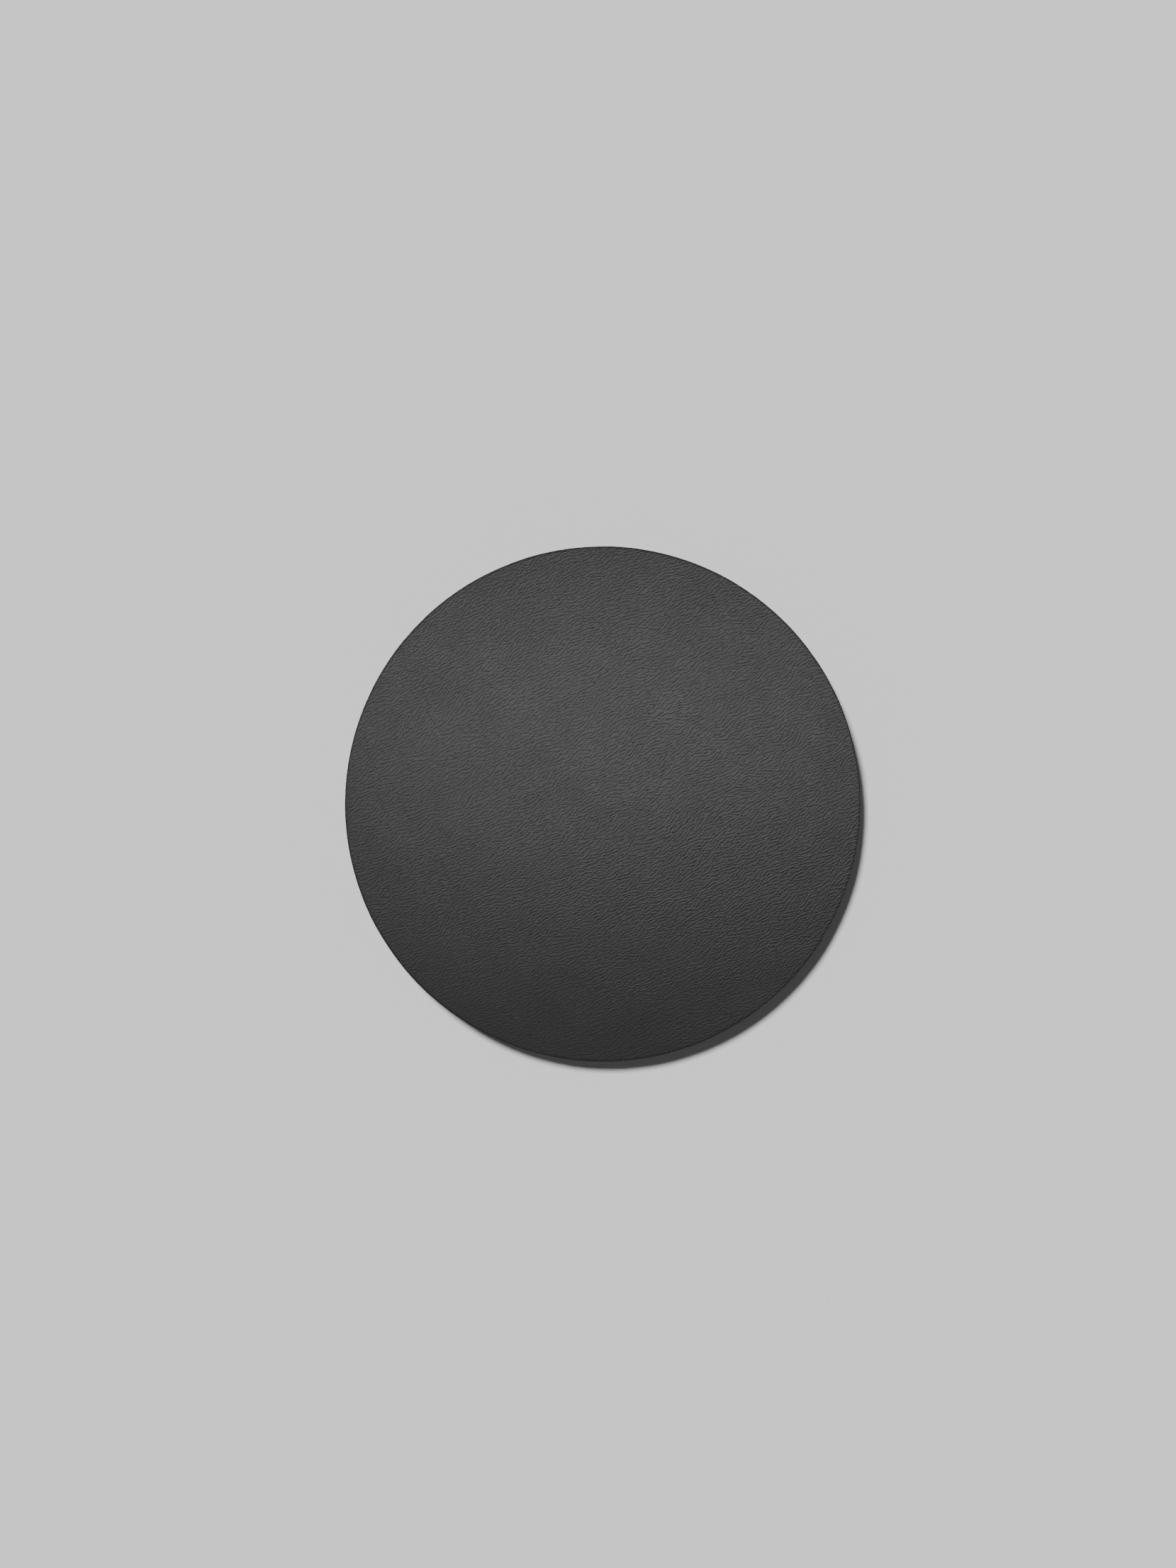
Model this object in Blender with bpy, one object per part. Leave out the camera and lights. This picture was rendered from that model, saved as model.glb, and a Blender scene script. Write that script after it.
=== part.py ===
"""Dealer button: the round marker that shows who deals in a card game.

It is a flat laminate that works either way up. Two black grained-leather discs, grain sides out, are
bonded to a fibreboard ring of the same outer size, and a steel disc sits in the ring's bore to give
the button its weight. Each bond is a die-cut adhesive film, kept a little back from the cut edge.

Units are metres. +Z is up, and the origin is the centre of the face that rests on the table.
"""

import math

import bmesh
import bpy

MM = 0.001

# Driving dimensions.
BUTTON_DIAMETER = 63.5 * MM
LEATHER_THICKNESS = 1.8 * MM
CORE_THICKNESS = 1.8 * MM
FILM_THICKNESS = 0.2 * MM
WEIGHT_DIAMETER = 45.0 * MM

# Details of the cut pieces.
LEATHER_RIM_RADIUS = 0.2 * MM  # the cutting die pulls the grain side down at the rim
FILM_SETBACK = 0.35 * MM  # how far the films stop short of the cut edge
WEIGHT_FIT = 0.3 * MM  # radial clearance of the weight in its ring
WEIGHT_CHAMFER = 0.2 * MM
LAYER_GAP = 0.3 * MM  # keeps bonded faces from sharing a plane
CREASE_ANGLE = 40  # degrees; edges sharper than this stay crisp when shaded
SAME_HEIGHT = 0.001 * MM  # tolerance for finding the rim at a height

ROUND_SEGMENTS = 144  # sides of every round piece
RIM_SEGMENTS = 3

# Material name: (base colour, roughness, metallic).
MATERIALS = {
    "black_leather": ((0.030, 0.030, 0.031), 0.50, 0.0),
    "black_fibreboard": ((0.022, 0.021, 0.020), 0.75, 0.0),
    "plated_steel": ((0.560, 0.570, 0.580), 0.32, 1.0),
    "clear_adhesive": ((0.600, 0.560, 0.450), 0.40, 0.0),
}


def clear_scene():
    for obj in list(bpy.data.objects):
        bpy.data.objects.remove(obj)


def make_material(name):
    """A Principled material from the MATERIALS table, made once."""
    existing = bpy.data.materials.get(name)
    if existing:
        return existing
    colour, roughness, metallic = MATERIALS[name]
    material = bpy.data.materials.new(name)
    material.use_nodes = True
    shader = material.node_tree.nodes["Principled BSDF"]
    shader.inputs["Base Color"].default_value = (*colour, 1.0)
    shader.inputs["Roughness"].default_value = roughness
    shader.inputs["Metallic"].default_value = metallic
    material.diffuse_color = (*colour, 1.0)
    return material


def cylinder(radius, thickness):
    """A bmesh cylinder that stands on z = 0."""
    bm = bmesh.new()
    bmesh.ops.create_cone(
        bm,
        cap_ends=True,
        segments=ROUND_SEGMENTS,
        radius1=radius,
        radius2=radius,
        depth=thickness,
    )
    bmesh.ops.translate(bm, verts=bm.verts, vec=(0, 0, thickness / 2))
    return bm


def bevel_rim(bm, height, width, segments):
    """Rounds, or with one segment chamfers, the rim at this height."""
    rim = [
        edge
        for edge in bm.edges
        if all(abs(vert.co.z - height) < SAME_HEIGHT for vert in edge.verts)
    ]
    bmesh.ops.bevel(
        bm,
        geom=rim,
        offset=width,
        segments=segments,
        profile=0.5,
        affect="EDGES",
    )


def bore(bm, radius):
    """Turns a cylinder into a ring: both caps are inset to the bore, and the holes are bridged."""
    caps = [face for face in bm.faces if abs(face.normal.z) > 0.5]
    outer_radius = caps[0].verts[0].co.to_2d().length
    half_side = math.pi / ROUND_SEGMENTS
    bmesh.ops.inset_individual(
        bm, faces=caps, thickness=(outer_radius - radius) * math.cos(half_side)
    )
    walls = [
        edge
        for edge in bm.edges
        if edge.verts[0].co.to_2d().length < (outer_radius + radius) / 2
        and edge.verts[1].co.to_2d().length < (outer_radius + radius) / 2
    ]
    bmesh.ops.delete(bm, geom=caps, context="FACES_ONLY")
    bmesh.ops.bridge_loops(bm, edges=walls)
    bmesh.ops.recalc_face_normals(bm, faces=bm.faces)


def add_piece(name, bm, material, height, assembly):
    """Makes a named object from a bmesh, places it at its height and parents it to the assembly."""
    mesh = bpy.data.meshes.new(name)
    bm.to_mesh(mesh)
    bm.free()
    mesh.shade_smooth()
    mesh.set_sharp_from_angle(angle=math.radians(CREASE_ANGLE))
    mesh.materials.append(make_material(material))
    piece = bpy.data.objects.new(name, mesh)
    bpy.context.scene.collection.objects.link(piece)
    piece.location.z = height
    piece.parent = assembly
    return piece


def leather_disc(grain_side_up):
    """A die-cut leather disc: the rim is rounded on its grain side and sharp on its flesh side."""
    bm = cylinder(BUTTON_DIAMETER / 2, LEATHER_THICKNESS)
    grain_height = LEATHER_THICKNESS if grain_side_up else 0.0
    bevel_rim(bm, grain_height, LEATHER_RIM_RADIUS, RIM_SEGMENTS)
    return bm


def adhesive_film():
    return cylinder(BUTTON_DIAMETER / 2 - FILM_SETBACK, FILM_THICKNESS)


def core_ring():
    """The fibreboard ring that spaces the leathers and holds the weight in its bore."""
    bm = cylinder(BUTTON_DIAMETER / 2, CORE_THICKNESS)
    bore(bm, WEIGHT_DIAMETER / 2 + WEIGHT_FIT)
    return bm


def steel_weight():
    """The steel disc, as thick as the ring, with both rims chamfered."""
    bm = cylinder(WEIGHT_DIAMETER / 2, CORE_THICKNESS)
    for height in (0.0, CORE_THICKNESS):
        bevel_rim(bm, height, WEIGHT_CHAMFER, 1)
    return bm


def build():
    clear_scene()
    assembly = bpy.data.objects.new("dealer_button", None)
    bpy.context.scene.collection.objects.link(assembly)

    # The stack from the table up. The ring and the weight share one level.
    stack = (
        (LEATHER_THICKNESS, (("back_leather", leather_disc(False), "black_leather"),)),
        (FILM_THICKNESS, (("back_adhesive_film", adhesive_film(), "clear_adhesive"),)),
        (
            CORE_THICKNESS,
            (
                ("core_ring", core_ring(), "black_fibreboard"),
                ("steel_weight", steel_weight(), "plated_steel"),
            ),
        ),
        (FILM_THICKNESS, (("front_adhesive_film", adhesive_film(), "clear_adhesive"),)),
        (LEATHER_THICKNESS, (("front_leather", leather_disc(True), "black_leather"),)),
    )
    height = 0.0
    for thickness, pieces in stack:
        for name, bm, material in pieces:
            add_piece(name, bm, material, height, assembly)
        height += thickness + LAYER_GAP


build()
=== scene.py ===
"""Dealer button: the looks.

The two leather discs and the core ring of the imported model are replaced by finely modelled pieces: their
rims, their cut edges and the wrinkles of the hide are real relief, and the leather's material adds the
finest wrinkles. The films and the weight keep their CAD shape and get a better material. Lengths are
metres, and the button lies flat on z = 0.
"""

import math

import bmesh
import bpy
import numpy as np
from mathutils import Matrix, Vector
from mathutils.geometry import delaunay_2d_cdt


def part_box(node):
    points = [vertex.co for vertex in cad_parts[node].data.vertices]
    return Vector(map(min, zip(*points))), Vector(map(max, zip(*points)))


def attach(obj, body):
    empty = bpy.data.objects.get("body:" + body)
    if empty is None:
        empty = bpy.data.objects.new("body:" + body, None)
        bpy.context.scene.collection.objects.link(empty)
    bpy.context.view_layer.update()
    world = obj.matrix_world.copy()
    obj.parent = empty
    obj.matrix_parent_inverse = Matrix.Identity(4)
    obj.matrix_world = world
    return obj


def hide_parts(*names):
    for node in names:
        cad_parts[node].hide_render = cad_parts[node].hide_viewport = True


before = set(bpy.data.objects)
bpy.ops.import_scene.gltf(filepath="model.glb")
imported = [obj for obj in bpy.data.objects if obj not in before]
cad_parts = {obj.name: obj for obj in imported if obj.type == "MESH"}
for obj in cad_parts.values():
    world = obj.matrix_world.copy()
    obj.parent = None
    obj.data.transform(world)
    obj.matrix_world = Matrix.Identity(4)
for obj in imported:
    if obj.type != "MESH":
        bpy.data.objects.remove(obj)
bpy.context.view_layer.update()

MM = 0.001

# ---------------------------------------------------------------- sizes from the frame

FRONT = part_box("front_leather")
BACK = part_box("back_leather")
FRONT_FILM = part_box("front_adhesive_film")
BACK_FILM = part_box("back_adhesive_film")
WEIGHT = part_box("steel_weight")

RADIUS = (FRONT[1][0] - FRONT[0][0]) / 2
TOP = FRONT[1][2]
BOTTOM = BACK[0][2]
BOND_CLEARANCE = 0.01 * MM  # keeps bonded faces from sharing a plane

# ---------------------------------------------------------------- the hide

HIDE_SPAN = 68 * MM  # side of the square of hide, which repeats
HIDE_CELLS = 1536
NOISE_TOP = 2.0  # noise of unit spread seldom passes this
GRAIN_ANGLE = math.radians(26)  # the wrinkles run this far round from +X
GRAIN_DRIFT = 0.12 * MM  # how far the wrinkles stray from their straight run
ROW_SPACING = 0.11 * MM  # mesh rows across the wrinkles
POINT_SPACING = 0.35 * MM  # mesh points along them
INSIDE_OUTLINE = 1  # the triangulation's output type that drops what lies outside the outline
SAME_POINT = 1e-9
GRAIN_DEPTH = 0.0030 * MM
SWELL_DEPTH = 0.012 * MM  # slow rise and fall of the face
SWELL_TOP = 2.2  # and the swell seldom passes this
WAVES_PER_MM = (2.1, 2.5)  # the finest wrinkles, which the material holds, come in two sizes
FINE_WAVES_PER_MM = (3.1, 3.7)
WAVE_TURN = (-0.08, 0.20)  # how far they swing about the grain's angle, in radians
WAVE_ORDER = 0.70  # 1 would make them perfectly parallel
WAVE_PART = 0.32  # height of each size, out of 1 from valley to ridge
WAVE_DEPTH = 0.0055 * MM
VALLEY_SHARE = 0.37  # how much of the face lies in their valleys
PORE_DEPTH = 0.006 * MM
HIDE_DRIFT = 0.35  # how far the material's pattern strays, in mm, and how often, per mm
HAIR_LINES_PER_MM = (1.8, 5.0)  # along the grain and across it
HAIR_NOISE = (0.36, 0.54)  # noise below the first is a hair line, and above the second there is none
DEEP_RELIEF = (-2.8, -1.6)  # the mesh's valleys get the most painted shade below the first and none above the second

# ---------------------------------------------------------------- the cut edge

COLUMNS = 720  # mesh columns round the edge
RIM_RADIUS = 0.14 * MM
RIM_ROWS = 3
WALL_ROWS = 12
FOOT_BEVEL = 0.05 * MM
FIBRE_DEPTH = 0.030 * MM
FINE_FIBRE_DEPTH = 0.06 * MM  # bump of the finest fibres, in the material
CUT_WANDER = 0.035 * MM  # how far the cut strays from a true circle
EDGE_REPEATS = 3  # times that the fibre noise repeats round the edge
GRAIN_LAYER = (0.10, 0.16)  # parts of the leather's thickness between which its grain layer fades out
CORE_FUZZ = 0.7  # the board's fibres stand out this much as far as the leather's
CORE_INSET = 0.06 * MM
BORE_CLEARANCE = 0.05 * MM


def filtered_noise(rng, passes):
    """Repeating noise of unit spread over the square of hide; passes(kx, ky) is the filter, in cycles/m."""
    cycles = np.fft.fftfreq(HIDE_CELLS, HIDE_SPAN / HIDE_CELLS)
    kx, ky = np.meshgrid(cycles, cycles)
    waves = np.fft.fft2(rng.standard_normal((HIDE_CELLS, HIDE_CELLS))) * passes(kx, ky)
    field = np.fft.ifft2(waves).real
    return (field - field.mean()) / field.std()


def clouds(rng, size):
    """Soft patches about this wide."""
    return filtered_noise(rng, lambda kx, ky: np.exp(-2 * size**2 * (kx**2 + ky**2)))


def wrinkles(rng, wavelength, angle, band, fan):
    """Short ridges along angle, a wavelength apart; band and fan spread their sizes and directions."""

    def passes(kx, ky):
        along = kx * math.cos(angle) + ky * math.sin(angle)
        across = ky * math.cos(angle) - kx * math.sin(angle)
        turn = np.arctan2(np.abs(along), np.abs(across))
        off_band = (np.hypot(along, across) * wavelength - 1) / band
        return np.exp(-(off_band**2)) * np.exp(-((turn / fan) ** 2))

    return filtered_noise(rng, passes)


def evened(field, size, least=0.15):
    """The same pattern with its strength made more equal from place to place; least spares faint places."""
    cycles = np.fft.fftfreq(HIDE_CELLS, HIDE_SPAN / HIDE_CELLS)
    kx, ky = np.meshgrid(cycles, cycles)
    blur = np.exp(-2 * (math.pi * size) ** 2 * (kx**2 + ky**2))
    strength = np.fft.ifft2(np.fft.fft2(field**2) * blur).real
    return field / np.sqrt(np.maximum(strength, 0) + least)


def read_field(field, x, y):
    """Bilinear reading of a repeating field at points in metres."""
    column = (x / HIDE_SPAN * HIDE_CELLS) % HIDE_CELLS
    row = (y / HIDE_SPAN * HIDE_CELLS) % HIDE_CELLS
    left, low = np.floor(column).astype(int), np.floor(row).astype(int)
    right_part, high_part = column - left, row - low
    left, low = left % HIDE_CELLS, low % HIDE_CELLS
    right, high = (left + 1) % HIDE_CELLS, (low + 1) % HIDE_CELLS
    below = field[low, left] * (1 - right_part) + field[low, right] * right_part
    above = field[high, left] * (1 - right_part) + field[high, right] * right_part
    return below * (1 - high_part) + above * high_part


def make_hide(seed):
    """The relief of a black calf hide: (grain, swell), each of about unit height with 0 at the ridges."""
    rng = np.random.default_rng(seed)
    fine = wrinkles(rng, 0.50 * MM, math.radians(31), band=0.3, fan=0.30)
    broad = wrinkles(rng, 0.64 * MM, math.radians(21), band=0.3, fan=0.30)
    creases = wrinkles(rng, 0.95 * MM, math.radians(20), band=0.4, fan=0.25)
    broad_places = clouds(rng, 4.0 * MM)
    strength = clouds(rng, 3.5 * MM)
    drift_x, drift_y = clouds(rng, 6 * MM), clouds(rng, 6 * MM)
    swell = clouds(rng, 5 * MM)

    ticks = np.arange(HIDE_CELLS) * HIDE_SPAN / HIDE_CELLS
    x, y = np.meshgrid(ticks, ticks)
    x_drifted, y_drifted = x + GRAIN_DRIFT * drift_x, y + GRAIN_DRIFT * drift_y
    fine, broad, creases = (read_field(field, x_drifted, y_drifted) for field in (fine, broad, creases))
    broad_part = 1 / (1 + np.exp(-2 * broad_places))
    grain = evened(fine * (1 - broad_part) + broad * broad_part, 0.6 * MM)
    creases = evened(creases, 1.5 * MM)
    grain = 0.5 * grain - 0.15 * np.maximum(-grain - 0.3, 0)  # valleys are narrower than ridges
    grain -= 0.35 * np.maximum(-creases - 1.5, 0)  # only the deepest creases cut in
    grain *= 1 + 0.15 * strength
    return grain - np.quantile(grain, 0.98), swell


def make_fibres(seed):
    """Cut fibres: noise drawn out along the first axis, which runs round the edge."""
    rng = np.random.default_rng(seed)
    coarse = filtered_noise(rng, lambda kx, ky: np.exp(-((kx * 0.9 * MM) ** 2 + (ky * 0.16 * MM) ** 2)))
    fine = filtered_noise(rng, lambda kx, ky: np.exp(-((kx * 0.35 * MM) ** 2 + (ky * 0.09 * MM) ** 2)))
    return 0.6 * coarse + 0.4 * fine, clouds(rng, 4 * MM)


# ---------------------------------------------------------------- meshes


def ring(radius, height):
    """One row of points round the edge; radius and height are numbers or one value for each column."""
    angles = np.arange(COLUMNS) * 2 * math.pi / COLUMNS
    row = np.empty((COLUMNS, 3))
    row[:, 0] = radius * np.cos(angles)
    row[:, 1] = radius * np.sin(angles)
    row[:, 2] = height
    return row


def quads_between(first, second):
    """Faces between two rows, given the index of each row's first point."""
    return [
        (first + i, second + i, second + (i + 1) % COLUMNS, first + (i + 1) % COLUMNS)
        for i in range(COLUMNS)
    ]


def edge_offset(fibres, height, shift, strength):
    """How far a cut edge is from its true circle at this height; the noise repeats without a seam."""
    pile, wander = fibres
    x = np.arange(COLUMNS) / COLUMNS * EDGE_REPEATS * HIDE_SPAN
    fuzz = read_field(pile, x, np.full(COLUMNS, height + shift)) - NOISE_TOP
    slow = read_field(wander, x, np.full(COLUMNS, shift)) - NOISE_TOP
    return strength * FIBRE_DEPTH * fuzz + CUT_WANDER * slow / 2


def add_mesh(name, points, faces, flat_faces, attributes=None):
    """A smooth-shaded piece, but for its flat faces; attributes hold one value for each point."""
    mesh = bpy.data.meshes.new(name)
    mesh.from_pydata([tuple(point) for point in points], [], faces)
    bm = bmesh.new()
    bm.from_mesh(mesh)
    bmesh.ops.recalc_face_normals(bm, faces=bm.faces)
    bm.to_mesh(mesh)
    bm.free()
    mesh.shade_smooth()
    for index in flat_faces:
        mesh.polygons[index].use_smooth = False
    for key, values in (attributes or {}).items():
        mesh.attributes.new(key, "FLOAT", "POINT").data.foreach_set("value", values)
    piece = bpy.data.objects.new(name, mesh)
    bpy.context.scene.collection.objects.link(piece)
    return piece


def face_points(radius):
    """Points of a leather face: a ring round its rim, then rows that follow the wrinkles."""
    reach = np.arange(-radius, radius, ROW_SPACING)
    steps = np.arange(-radius, radius, POINT_SPACING)
    along, across = np.meshgrid(steps, reach)
    along = along + (np.arange(len(reach)) % 2)[:, None] * POINT_SPACING / 2
    inside = np.hypot(along, across) < radius - ROW_SPACING
    along, across = along[inside], across[inside]
    x = along * math.cos(GRAIN_ANGLE) - across * math.sin(GRAIN_ANGLE)
    y = along * math.sin(GRAIN_ANGLE) + across * math.cos(GRAIN_ANGLE)
    return np.vstack([ring(radius, 0)[:, :2], np.column_stack([x, y])])


def leather_disc(thickness, hide, hide_place, fibres, fibre_shift):
    """A leather disc with its flesh side on z = 0 and its grain side up: (points, faces, attributes)."""
    grain, swell = hide
    face_radius = RADIUS - RIM_RADIUS
    flat = face_points(face_radius)
    outline = [list(range(COLUMNS))]
    triangles = delaunay_2d_cdt([Vector(p) for p in flat], [], outline, INSIDE_OUTLINE, SAME_POINT)[2]

    place_x, place_y = flat[:, 0] + hide_place[0], flat[:, 1] + hide_place[1]
    relief = read_field(grain, place_x, place_y)
    swelling = read_field(swell, place_x, place_y) - SWELL_TOP
    rise = np.minimum(GRAIN_DEPTH * relief + SWELL_DEPTH * swelling / 2, 0)
    face = np.column_stack([flat, thickness + rise])

    rows, reliefs, cuts = [face], [relief], [np.zeros(len(face))]
    rim_rise, rim_relief = rise[:COLUMNS], relief[:COLUMNS]
    for step in range(1, RIM_ROWS + 1):
        turn = step / RIM_ROWS * math.pi / 2
        fade = math.cos(turn)
        out = face_radius + RIM_RADIUS * math.sin(turn)
        height = thickness - RIM_RADIUS * (1 - math.cos(turn))
        offset = edge_offset(fibres, height, fibre_shift, 1 - fade) * (1 - fade)
        rows.append(ring(out + offset, height + rim_rise * fade))
        reliefs.append(rim_relief * fade)
        cuts.append(np.full(COLUMNS, 1 - fade))
    wall_top = thickness - RIM_RADIUS
    for step in range(1, WALL_ROWS + 1):
        height = wall_top + (FOOT_BEVEL - wall_top) * step / WALL_ROWS
        offset = edge_offset(fibres, height, fibre_shift, 1)
        rows.append(ring(RADIUS + offset, height))
        reliefs.append(np.zeros(COLUMNS))
        cuts.append(np.ones(COLUMNS))
    rows.append(ring(RADIUS + offset - FOOT_BEVEL, 0))
    reliefs.append(np.zeros(COLUMNS))
    cuts.append(np.ones(COLUMNS))

    points = np.vstack(rows)
    faces = [tuple(triangle) for triangle in triangles]
    first = 0
    second = len(face)
    for _ in rows[1:]:
        faces += quads_between(first, second)
        first, second = second, second + COLUMNS
    faces.append(tuple(range(first, first + COLUMNS)))
    attributes = {
        "relief": np.concatenate(reliefs),
        "cut": np.concatenate(cuts),
        "depth": np.clip((thickness - points[:, 2]) / thickness, 0, 1),
        "hide_x": (points[:, 0] + hide_place[0]) / MM,
        "hide_y": (points[:, 1] + hide_place[1]) / MM,
    }
    return points, faces, attributes


def add_leather(name, node, low, high, grain_down, hide, hide_place, fibres, fibre_shift):
    """A leather disc between two heights, with its grain side up or down."""
    thickness = high - low
    points, faces, attributes = leather_disc(thickness, hide, hide_place, fibres, fibre_shift)
    if grain_down:
        points[:, 1:] *= -1
    points[:, 2] += high if grain_down else low
    piece = add_mesh(name, points, faces, [len(faces) - 1], attributes)
    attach(piece, "root")
    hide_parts(node)
    return piece


def add_core_ring(name, node, low, high, fibres, fibre_shift):
    """The ring: a fibrous outer wall, and a plain bore that clears the weight."""
    outer = RADIUS - CORE_INSET
    bore = (WEIGHT[1][0] - WEIGHT[0][0]) / 2 + BORE_CLEARANCE
    rows = []
    for step in range(WALL_ROWS + 1):
        height = high + (low - high) * step / WALL_ROWS
        offset = edge_offset(fibres, height - low, fibre_shift, CORE_FUZZ)
        rows.append(ring(outer + offset, height))
    for height in (low, high):
        rows.append(ring(bore, height))
    faces = []
    for index in range(len(rows)):
        faces += quads_between(index * COLUMNS, (index + 1) % len(rows) * COLUMNS)
    caps_and_bore = range(WALL_ROWS * COLUMNS, len(faces))
    piece = add_mesh(name, np.vstack(rows), faces, caps_and_bore)
    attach(piece, "root")
    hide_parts(node)
    return piece


# ---------------------------------------------------------------- materials

MOST_NOISE = (0.3, 0.7)  # nearly all of a noise node's output lies between these
HALF_NOISE = (0.35, 0.65)  # and more than half of it between these

FACE_TONES = (0.0135, 0.0155)  # the black of the leather's face
# painted shade: the colour laid into the wrinkles' valleys
VALLEY_SHADE_TONE = 0.004
FACE_ROUGHNESS = (0.360, 0.394)
VALLEY_ROUGHENING = 0.05
FACE_SHINE = 0.51  # specular level of the face
VALLEY_DULLING = 0.21  # how much less of it the valleys have


def set_socket(tree, socket, value):
    if isinstance(value, bpy.types.NodeSocket):
        tree.links.new(value, socket)
    else:
        socket.default_value = value


def add_node(tree, kind, settings=None, **inputs):
    """A shader node; each input is named by its label with _ for a space."""
    node = tree.nodes.new("ShaderNode" + kind)
    for key, value in (settings or {}).items():
        setattr(node, key, value)
    for key, value in inputs.items():
        set_socket(tree, node.inputs[key.replace("_", " ")], value)
    return node


def calc(tree, operation, *values):
    """A Math node's result."""
    node = tree.nodes.new("ShaderNodeMath")
    node.operation = operation
    for socket, value in zip(node.inputs, values):
        set_socket(tree, socket, value)
    return node.outputs[0]


def remap(tree, value, low, high, new_low, new_high):
    """value from low to high becomes new_low to new_high, and stays within them."""
    ends = {"From_Min": low, "From_Max": high, "To_Min": new_low, "To_Max": new_high}
    return add_node(tree, "MapRange", Value=value, **ends).outputs["Result"]


def mix(tree, part, first, second):
    """A blend of two colours."""
    node = add_node(tree, "MixRGB", Fac=part, Color1=first, Color2=second)
    return node.outputs["Color"]


def grey(value, warmth=0.0):
    """A near-neutral colour; warmth lifts red and lowers blue."""
    return (value * (1 + warmth), value, value * (1 - warmth), 1)


def stretched(tree, place, factors):
    """A place times a factor for each axis; a large factor makes a fine pattern along its axis."""
    node = add_node(tree, "VectorMath", {"operation": "MULTIPLY"})
    set_socket(tree, node.inputs[0], place)
    set_socket(tree, node.inputs[1], factors)
    return node.outputs[0]


def millimetres(tree, stretch=(1, 1, 1)):
    """Object coordinates in millimetres, stretched."""
    place = add_node(tree, "TexCoord").outputs["Object"]
    return stretched(tree, place, tuple(factor / MM for factor in stretch))


def noise(tree, place, scale, detail=2.0, roughness=0.5):
    """Soft noise from 0 to 1, mostly between 0.3 and 0.7."""
    node = add_node(tree, "TexNoise", Vector=place, Scale=scale, Detail=detail, Roughness=roughness)
    return node.outputs["Fac"]


def attribute(tree, name):
    node = tree.nodes.new("ShaderNodeAttribute")
    node.attribute_name = name
    return node.outputs["Fac"]


def blend(tree, part, first, second):
    """A blend of two numbers."""
    node = add_node(tree, "Mix", {"data_type": "FLOAT"})
    for socket, value in zip((node.inputs[0], node.inputs[2], node.inputs[3]), (part, first, second)):
        set_socket(tree, socket, value)
    return node.outputs[0]


def bump(tree, height, depth, normal=None):
    """Bump of this depth in metres, on top of another normal."""
    node = add_node(tree, "Bump", Height=height, Distance=depth)
    if normal is not None:
        set_socket(tree, node.inputs["Normal"], normal)
    return node.outputs["Normal"]


def new_material(name):
    material = bpy.data.materials.new(name)
    material.use_nodes = True
    tree = material.node_tree
    return material, tree, tree.nodes["Principled BSDF"]


def place_on_hide(tree):
    """Where a point lies on the hide, in millimetres; it drifts a little, so nothing runs dead straight."""
    flat = add_node(tree, "CombineXYZ", X=attribute(tree, "hide_x"), Y=attribute(tree, "hide_y")).outputs[0]
    drift = add_node(tree, "TexNoise", Vector=flat, Scale=HIDE_DRIFT, Detail=1.0).outputs["Color"]
    place = add_node(tree, "VectorMath", {"operation": "MULTIPLY_ADD"})
    for socket, value in zip(place.inputs, (drift, (HIDE_DRIFT, HIDE_DRIFT, 0), flat)):
        set_socket(tree, socket, value)
    return place.outputs[0]


def fine_wrinkles(tree, hide):
    """The finest wrinkles of the grain: about 0 in their valleys and about 1 on their ridges."""
    across = GRAIN_ANGLE + math.pi / 2
    turn, pitch = noise(tree, hide, 0.14, detail=1), noise(tree, hide, 0.35, detail=1)
    height = 0.5  # halfway, about which the waves rise and fall
    for waves_per_mm in (WAVES_PER_MM, FINE_WAVES_PER_MM):
        node = add_node(
            tree,
            "TexGabor",
            {"gabor_type": "2D"},
            Vector=hide,
            Scale=1.0,
            Frequency=remap(tree, pitch, *MOST_NOISE, *waves_per_mm),
            Anisotropy=WAVE_ORDER,
            Orientation=remap(tree, turn, *MOST_NOISE, across + WAVE_TURN[0], across + WAVE_TURN[1]),
        )
        phase = calc(tree, "MULTIPLY", node.outputs["Phase"], 2 * math.pi)
        height = calc(tree, "MULTIPLY_ADD", calc(tree, "SINE", phase), WAVE_PART, height)
    return height


def wrinkle_boldness(tree, hide):
    """How strong the finest wrinkles are: strongest in a band below the middle, and towards the right.

    The bands are in millimetres on the hide, and each is followed by the strength at its two ends.
    """
    right, up = attribute(tree, "hide_x"), attribute(tree, "hide_y")
    bold = calc(tree, "MINIMUM", remap(tree, up, -26, -13, 0.9, 1.4), remap(tree, up, -8, 5, 1.4, 1.1))
    bold = calc(tree, "MULTIPLY", bold, remap(tree, right, -20, 15, 0.85, 1.08))
    return calc(tree, "MULTIPLY", bold, remap(tree, noise(tree, hide, 0.09), *HALF_NOISE, 0.95, 1.05))


def hair_lines(tree, hide):
    """Irregular lines along the grain, finer than its wrinkles: 1 in the lines and 0 between them."""
    turned = add_node(tree, "VectorRotate", {"rotation_type": "Z_AXIS"}, Vector=hide, Angle=-GRAIN_ANGLE)
    place = stretched(tree, turned.outputs[0], (*HAIR_LINES_PER_MM, 1.0))
    return remap(tree, noise(tree, place, 1.0, detail=1), *HAIR_NOISE, 1, 0)


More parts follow.
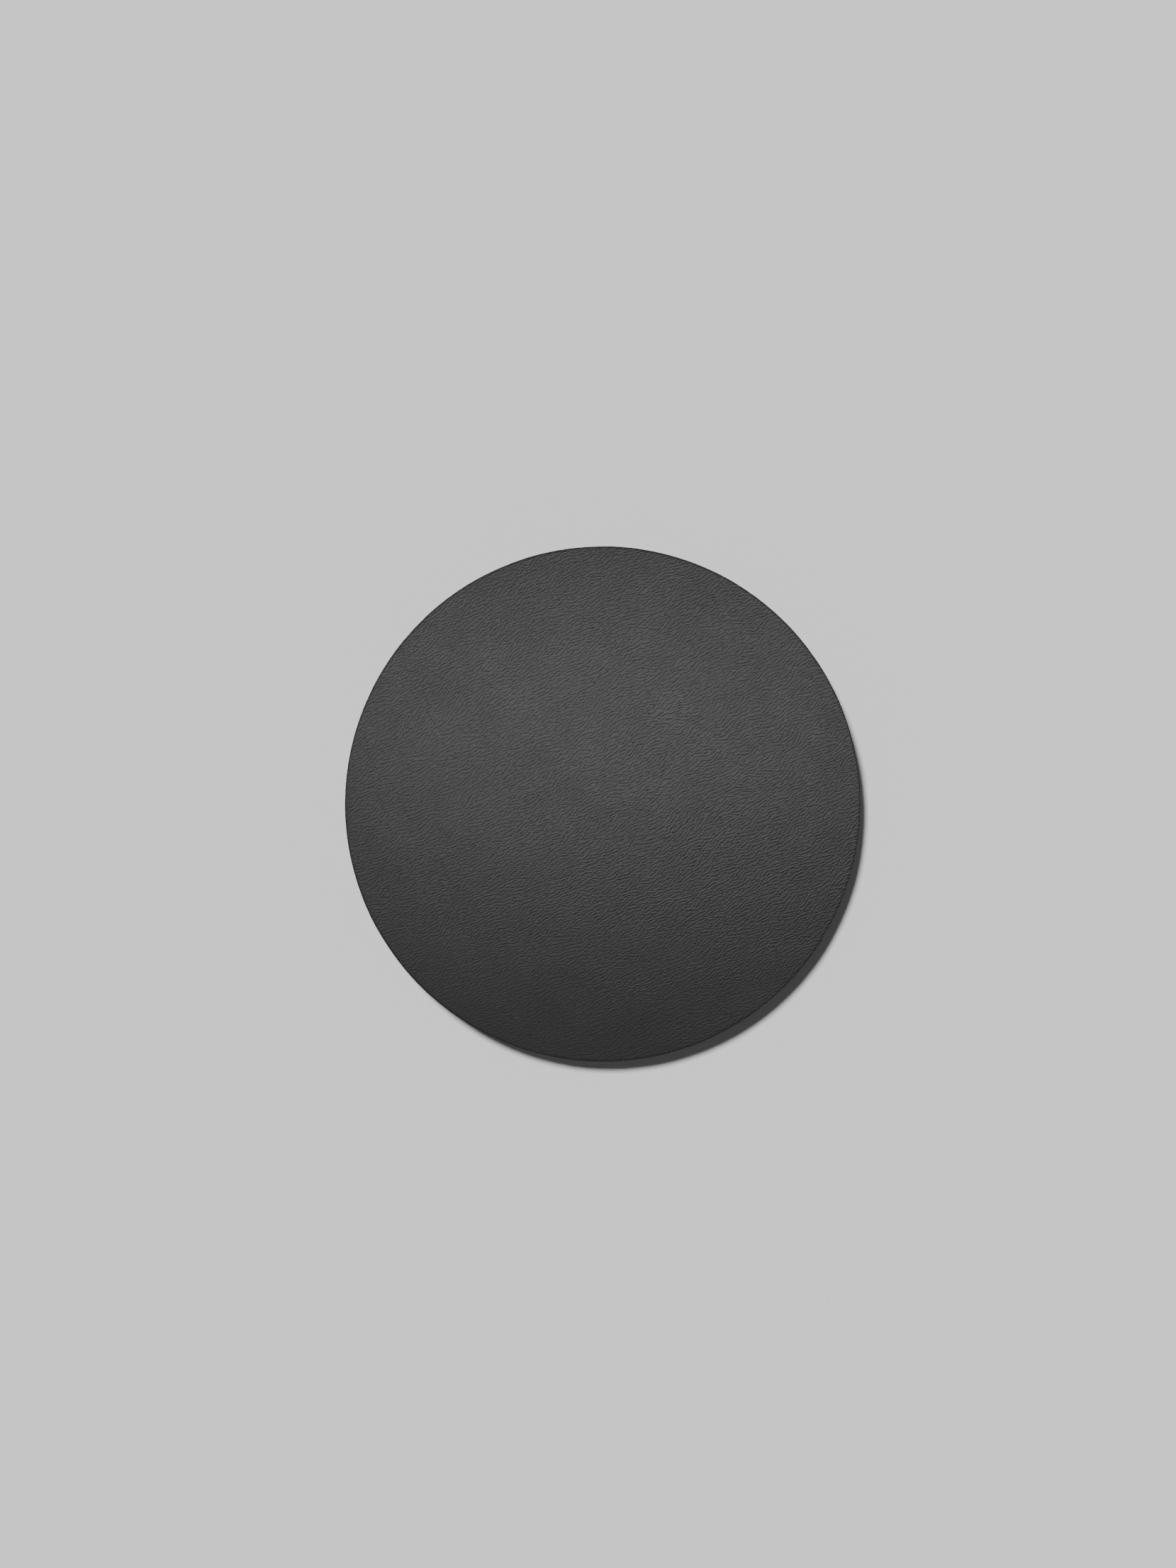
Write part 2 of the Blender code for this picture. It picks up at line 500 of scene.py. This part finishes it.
def face_finish(tree, relief, on_face):
    """The grain side: (colour, roughness, specular level, normal).

    It shows the finest wrinkles, pores, slow changes in the finish and a few grains of dust. The valleys
    are darkened with painted shade, and are duller because handling polishes only the ridges.
    """
    hide = place_on_hide(tree)
    wave = fine_wrinkles(tree, hide)
    boldness = wrinkle_boldness(tree, hide)
    hairs = hair_lines(tree, hide)
    breaks = remap(tree, noise(tree, hide, 2.0, detail=1), *HALF_NOISE, 0.85, 1.15)
    valley = calc(tree, "MULTIPLY", remap(tree, wave, 0.0, 0.8, 1, 0), breaks)
    deep_valley = remap(tree, relief, *DEEP_RELIEF, 1, 0)
    pores = noise(tree, hide, 3.5, roughness=0.6)
    clouds_in_finish = noise(tree, hide, 0.12)
    mottle = calc(tree, "MULTIPLY", calc(tree, "ADD", noise(tree, hide, 0.3), clouds_in_finish), 0.5)
    speck_distance = add_node(tree, "TexVoronoi", Vector=hide, Scale=0.07).outputs["Distance"]
    dust = remap(tree, speck_distance, 0.004, 0.007, 0.8, 0)

    colour = mix(tree, clouds_in_finish, *map(grey, FACE_TONES))
    # painted shade: the fine wrinkles' valleys and the mesh's deep valleys are darkened in the colour
    colour = mix(tree, calc(tree, "MULTIPLY", valley, 0.22), colour, grey(VALLEY_SHADE_TONE))
    colour = mix(tree, calc(tree, "MULTIPLY", deep_valley, 0.4), colour, grey(VALLEY_SHADE_TONE))
    colour = mix(tree, dust, colour, grey(0.22, 0.05))
    rough = remap(tree, mottle, *HALF_NOISE, *FACE_ROUGHNESS)
    for hollow in (valley, deep_valley):
        rough = calc(tree, "MULTIPLY_ADD", hollow, VALLEY_ROUGHENING, rough)
    dulled = calc(tree, "MULTIPLY", calc(tree, "SUBTRACT", valley, VALLEY_SHARE), boldness)
    dulled = calc(tree, "MULTIPLY_ADD", hairs, 0.5, dulled)
    shine = calc(tree, "MULTIPLY_ADD", calc(tree, "MULTIPLY", dulled, on_face), -VALLEY_DULLING, FACE_SHINE)

    height = calc(tree, "MULTIPLY", calc(tree, "MULTIPLY_ADD", hairs, -0.4, wave), boldness)
    normal = bump(tree, calc(tree, "MULTIPLY", height, on_face), WAVE_DEPTH)
    normal = bump(tree, calc(tree, "MULTIPLY", pores, on_face), PORE_DEPTH, normal)
    return colour, rough, shine, normal


def cut_finish(tree, cut, depth, normal):
    """The cut side: a tight grain layer, then open fibres that the dye leaves duller."""
    streaks = noise(tree, millimetres(tree, (1.2, 1.2, 9)), 1.0, detail=4, roughness=0.65)
    fibre_tone = remap(tree, streaks, *MOST_NOISE, 0, 1)
    grain_layer = remap(tree, depth, *GRAIN_LAYER, 1, 0)
    colour = mix(tree, fibre_tone, grey(0.008, 0.03), grey(0.055, 0.04))
    colour = mix(tree, grain_layer, colour, grey(0.012))
    rough = calc(tree, "MULTIPLY_ADD", grain_layer, -0.2, remap(tree, fibre_tone, 0, 1, 0.62, 0.78))
    return colour, rough, bump(tree, calc(tree, "MULTIPLY", streaks, cut), FINE_FIBRE_DEPTH, normal)


def leather_material():
    material, tree, shader = new_material("black_grained_leather")
    relief, cut, depth = attribute(tree, "relief"), attribute(tree, "cut"), attribute(tree, "depth")
    on_face = calc(tree, "SUBTRACT", 1, cut)
    face_colour, face_rough, shine, normal = face_finish(tree, relief, on_face)
    cut_colour, cut_rough, normal = cut_finish(tree, cut, depth, normal)
    set_socket(tree, shader.inputs["Base Color"], mix(tree, cut, face_colour, cut_colour))
    set_socket(tree, shader.inputs["Roughness"], blend(tree, cut, face_rough, cut_rough))
    set_socket(tree, shader.inputs["Specular IOR Level"], shine)
    shader.inputs["Sheen Weight"].default_value = 0.06
    shader.inputs["Sheen Roughness"].default_value = 0.5
    set_socket(tree, shader.inputs["Normal"], normal)
    return material


def fibreboard_material():
    material, tree, shader = new_material("black_fibreboard")
    layers = noise(tree, millimetres(tree, (0.8, 0.8, 7)), 1.0, detail=4, roughness=0.6)
    specks = noise(tree, millimetres(tree, (3, 3, 9)), 1.0, detail=2)
    colour = mix(tree, remap(tree, layers, *MOST_NOISE, 0, 1), grey(0.007, 0.05), grey(0.042, 0.08))
    colour = mix(tree, remap(tree, specks, 0.62, 0.75, 0, 0.5), colour, grey(0.060, 0.12))
    set_socket(tree, shader.inputs["Base Color"], colour)
    set_socket(tree, shader.inputs["Roughness"], remap(tree, layers, *MOST_NOISE, 0.72, 0.88))
    set_socket(tree, shader.inputs["Normal"], bump(tree, layers, 0.05 * MM))
    return material


def adhesive_material():
    material, tree, shader = new_material("clear_adhesive")
    haze = noise(tree, millimetres(tree), 1.5, detail=3)
    set_socket(tree, shader.inputs["Base Color"], mix(tree, haze, grey(0.012, 0.15), grey(0.030, 0.2)))
    set_socket(tree, shader.inputs["Roughness"], remap(tree, haze, *MOST_NOISE, 0.30, 0.45))
    set_socket(tree, shader.inputs["Normal"], bump(tree, haze, 0.02 * MM))
    return material


def steel_material():
    material, tree, shader = new_material("plated_steel")
    lay = noise(tree, millimetres(tree, (0.4, 14, 1)), 1.0, detail=3)
    stains = noise(tree, millimetres(tree), 0.25, detail=2)
    set_socket(tree, shader.inputs["Base Color"], mix(tree, stains, grey(0.50), grey(0.60, 0.02)))
    shader.inputs["Metallic"].default_value = 1.0
    set_socket(tree, shader.inputs["Roughness"], remap(tree, lay, *MOST_NOISE, 0.26, 0.40))
    set_socket(tree, shader.inputs["Normal"], bump(tree, lay, 0.004 * MM))
    return material


def floor_material():
    material, tree, shader = new_material("pale_floor")
    tone = noise(tree, millimetres(tree), 0.01, detail=2)
    set_socket(tree, shader.inputs["Base Color"], mix(tree, tone, grey(0.82), grey(0.84)))
    shader.inputs["Roughness"].default_value = 0.8
    shader.inputs["Specular IOR Level"].default_value = 0.0
    return material


# ---------------------------------------------------------------- camera, light and floor

LENS = 135.0
SENSOR = 36.0
VIEW_HEIGHT = 192.8 * MM  # how much of the table the tall side of the picture takes in
LOOK_AT = (-1.81 * MM, 2.48 * MM)  # the middle of the picture, a little up and left of the button
FLOOR_REACH = 20.0  # from the button to the floor's edge, which is out of sight
FILL_SPAN = (0.0, 0.6)  # sines of the elevations between which the matt light changes
GLOSS_SPAN = (0.1, 0.85)  # and the mirrored light


def add_camera():
    data = bpy.data.cameras.new("camera")
    data.lens = LENS
    data.sensor_width = SENSOR
    camera = bpy.data.objects.new("camera", data)
    camera.location = (*LOOK_AT, TOP + VIEW_HEIGHT * LENS / SENSOR)
    bpy.context.scene.collection.objects.link(camera)
    bpy.context.scene.camera = camera


def direction_to(azimuth, elevation):
    """Unit vector towards a light; azimuth is counted from +X and elevation from the table, in degrees."""
    turn, rise = math.radians(azimuth), math.radians(elevation)
    return Vector((math.cos(turn) * math.cos(rise), math.sin(turn) * math.cos(rise), math.sin(rise)))


def add_strip_softbox(azimuth, elevation, distance, width, depth, power):
    """A strip light that gives the leather its soft gloss, and that only polished surfaces show."""
    data = bpy.data.lights.new("strip_softbox", "AREA")
    data.shape = "RECTANGLE"
    data.size = width
    data.size_y = depth
    data.energy = power
    light = bpy.data.objects.new("strip_softbox", data)
    place = direction_to(azimuth, elevation)
    light.location = place * distance
    light.rotation_euler = place.to_track_quat("Z", "Y").to_euler()
    light.visible_camera = False
    light.visible_diffuse = False
    bpy.context.scene.collection.objects.link(light)


def add_sun(azimuth, elevation, spread, strength):
    """An even light with a small disc, which gives the thin shadow; the leather shows no glare from it."""
    data = bpy.data.lights.new("sun", "SUN")
    data.angle = math.radians(spread)
    data.energy = strength
    light = bpy.data.objects.new("sun", data)
    light.rotation_euler = direction_to(azimuth, elevation).to_track_quat("Z", "Y").to_euler()
    light.visible_glossy = False
    bpy.context.scene.collection.objects.link(light)


def add_world(fill, gloss, backdrop):
    """A dim room that grows brighter towards the horizon; the camera sees a pale backdrop instead.

    fill and gloss are (overhead, horizon) pairs: the light on matt surfaces, and what polished ones mirror.
    """
    world = bpy.data.worlds.new("studio")
    world.use_nodes = True
    world.cycles.sampling_method = "NONE"  # the room is smooth, and this keeps its two brightnesses apart
    tree = world.node_tree
    background = tree.nodes["Background"]
    background.inputs["Color"].default_value = (1, 1, 1, 1)
    direction = add_node(tree, "TexCoord").outputs["Generated"]
    up = add_node(tree, "SeparateXYZ", Vector=direction).outputs["Z"]
    path = add_node(tree, "LightPath").outputs
    matt = remap(tree, up, *FILL_SPAN, fill[1], fill[0])
    mirrored = remap(tree, up, *GLOSS_SPAN, gloss[1], gloss[0])
    light = blend(tree, path["Is Glossy Ray"], matt, mirrored)
    set_socket(tree, background.inputs["Strength"], blend(tree, path["Is Camera Ray"], light, backdrop))
    bpy.context.scene.world = world


def add_floor():
    bm = bmesh.new()
    bmesh.ops.create_grid(bm, x_segments=1, y_segments=1, size=FLOOR_REACH)
    mesh = bpy.data.meshes.new("floor")
    bm.to_mesh(mesh)
    bm.free()
    floor = bpy.data.objects.new("floor", mesh)
    mesh.materials.append(floor_material())
    bpy.context.scene.collection.objects.link(floor)


# ---------------------------------------------------------------- making

add_camera()
add_world(fill=(0.065, 0.34), gloss=(0.05, 0.50), backdrop=1.01)
add_sun(azimuth=125.3, elevation=75.1, spread=7, strength=3.65)
add_strip_softbox(azimuth=90, elevation=84.4, distance=0.141, width=0.104, depth=0.03, power=0.0648)
add_floor()

hide = make_hide(seed=7)
fibres = make_fibres(seed=19)
leather = leather_material()

front = add_leather(
    "front_leather_disc",
    "front_leather",
    low=FRONT_FILM[1][2] + BOND_CLEARANCE,
    high=TOP,
    grain_down=False,
    hide=hide,
    hide_place=(0.0, 0.0),
    fibres=fibres,
    fibre_shift=0.0,
)
back = add_leather(
    "back_leather_disc",
    "back_leather",
    low=BOTTOM,
    high=BACK_FILM[0][2] - BOND_CLEARANCE,
    grain_down=True,
    hide=hide,
    hide_place=(0.031, 0.017),
    fibres=fibres,
    fibre_shift=0.011,
)
for piece in (front, back):
    piece.data.materials.append(leather)

core = add_core_ring(
    "core_board_ring",
    "core_ring",
    low=BACK_FILM[1][2] + BOND_CLEARANCE,
    high=FRONT_FILM[0][2] - BOND_CLEARANCE,
    fibres=fibres,
    fibre_shift=0.023,
)
core.data.materials.append(fibreboard_material())

finishes = {
    "front_adhesive_film": adhesive_material(),
    "steel_weight": steel_material(),
}
finishes["back_adhesive_film"] = finishes["front_adhesive_film"]
for node, material in finishes.items():
    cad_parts[node].material_slots[0].material = material
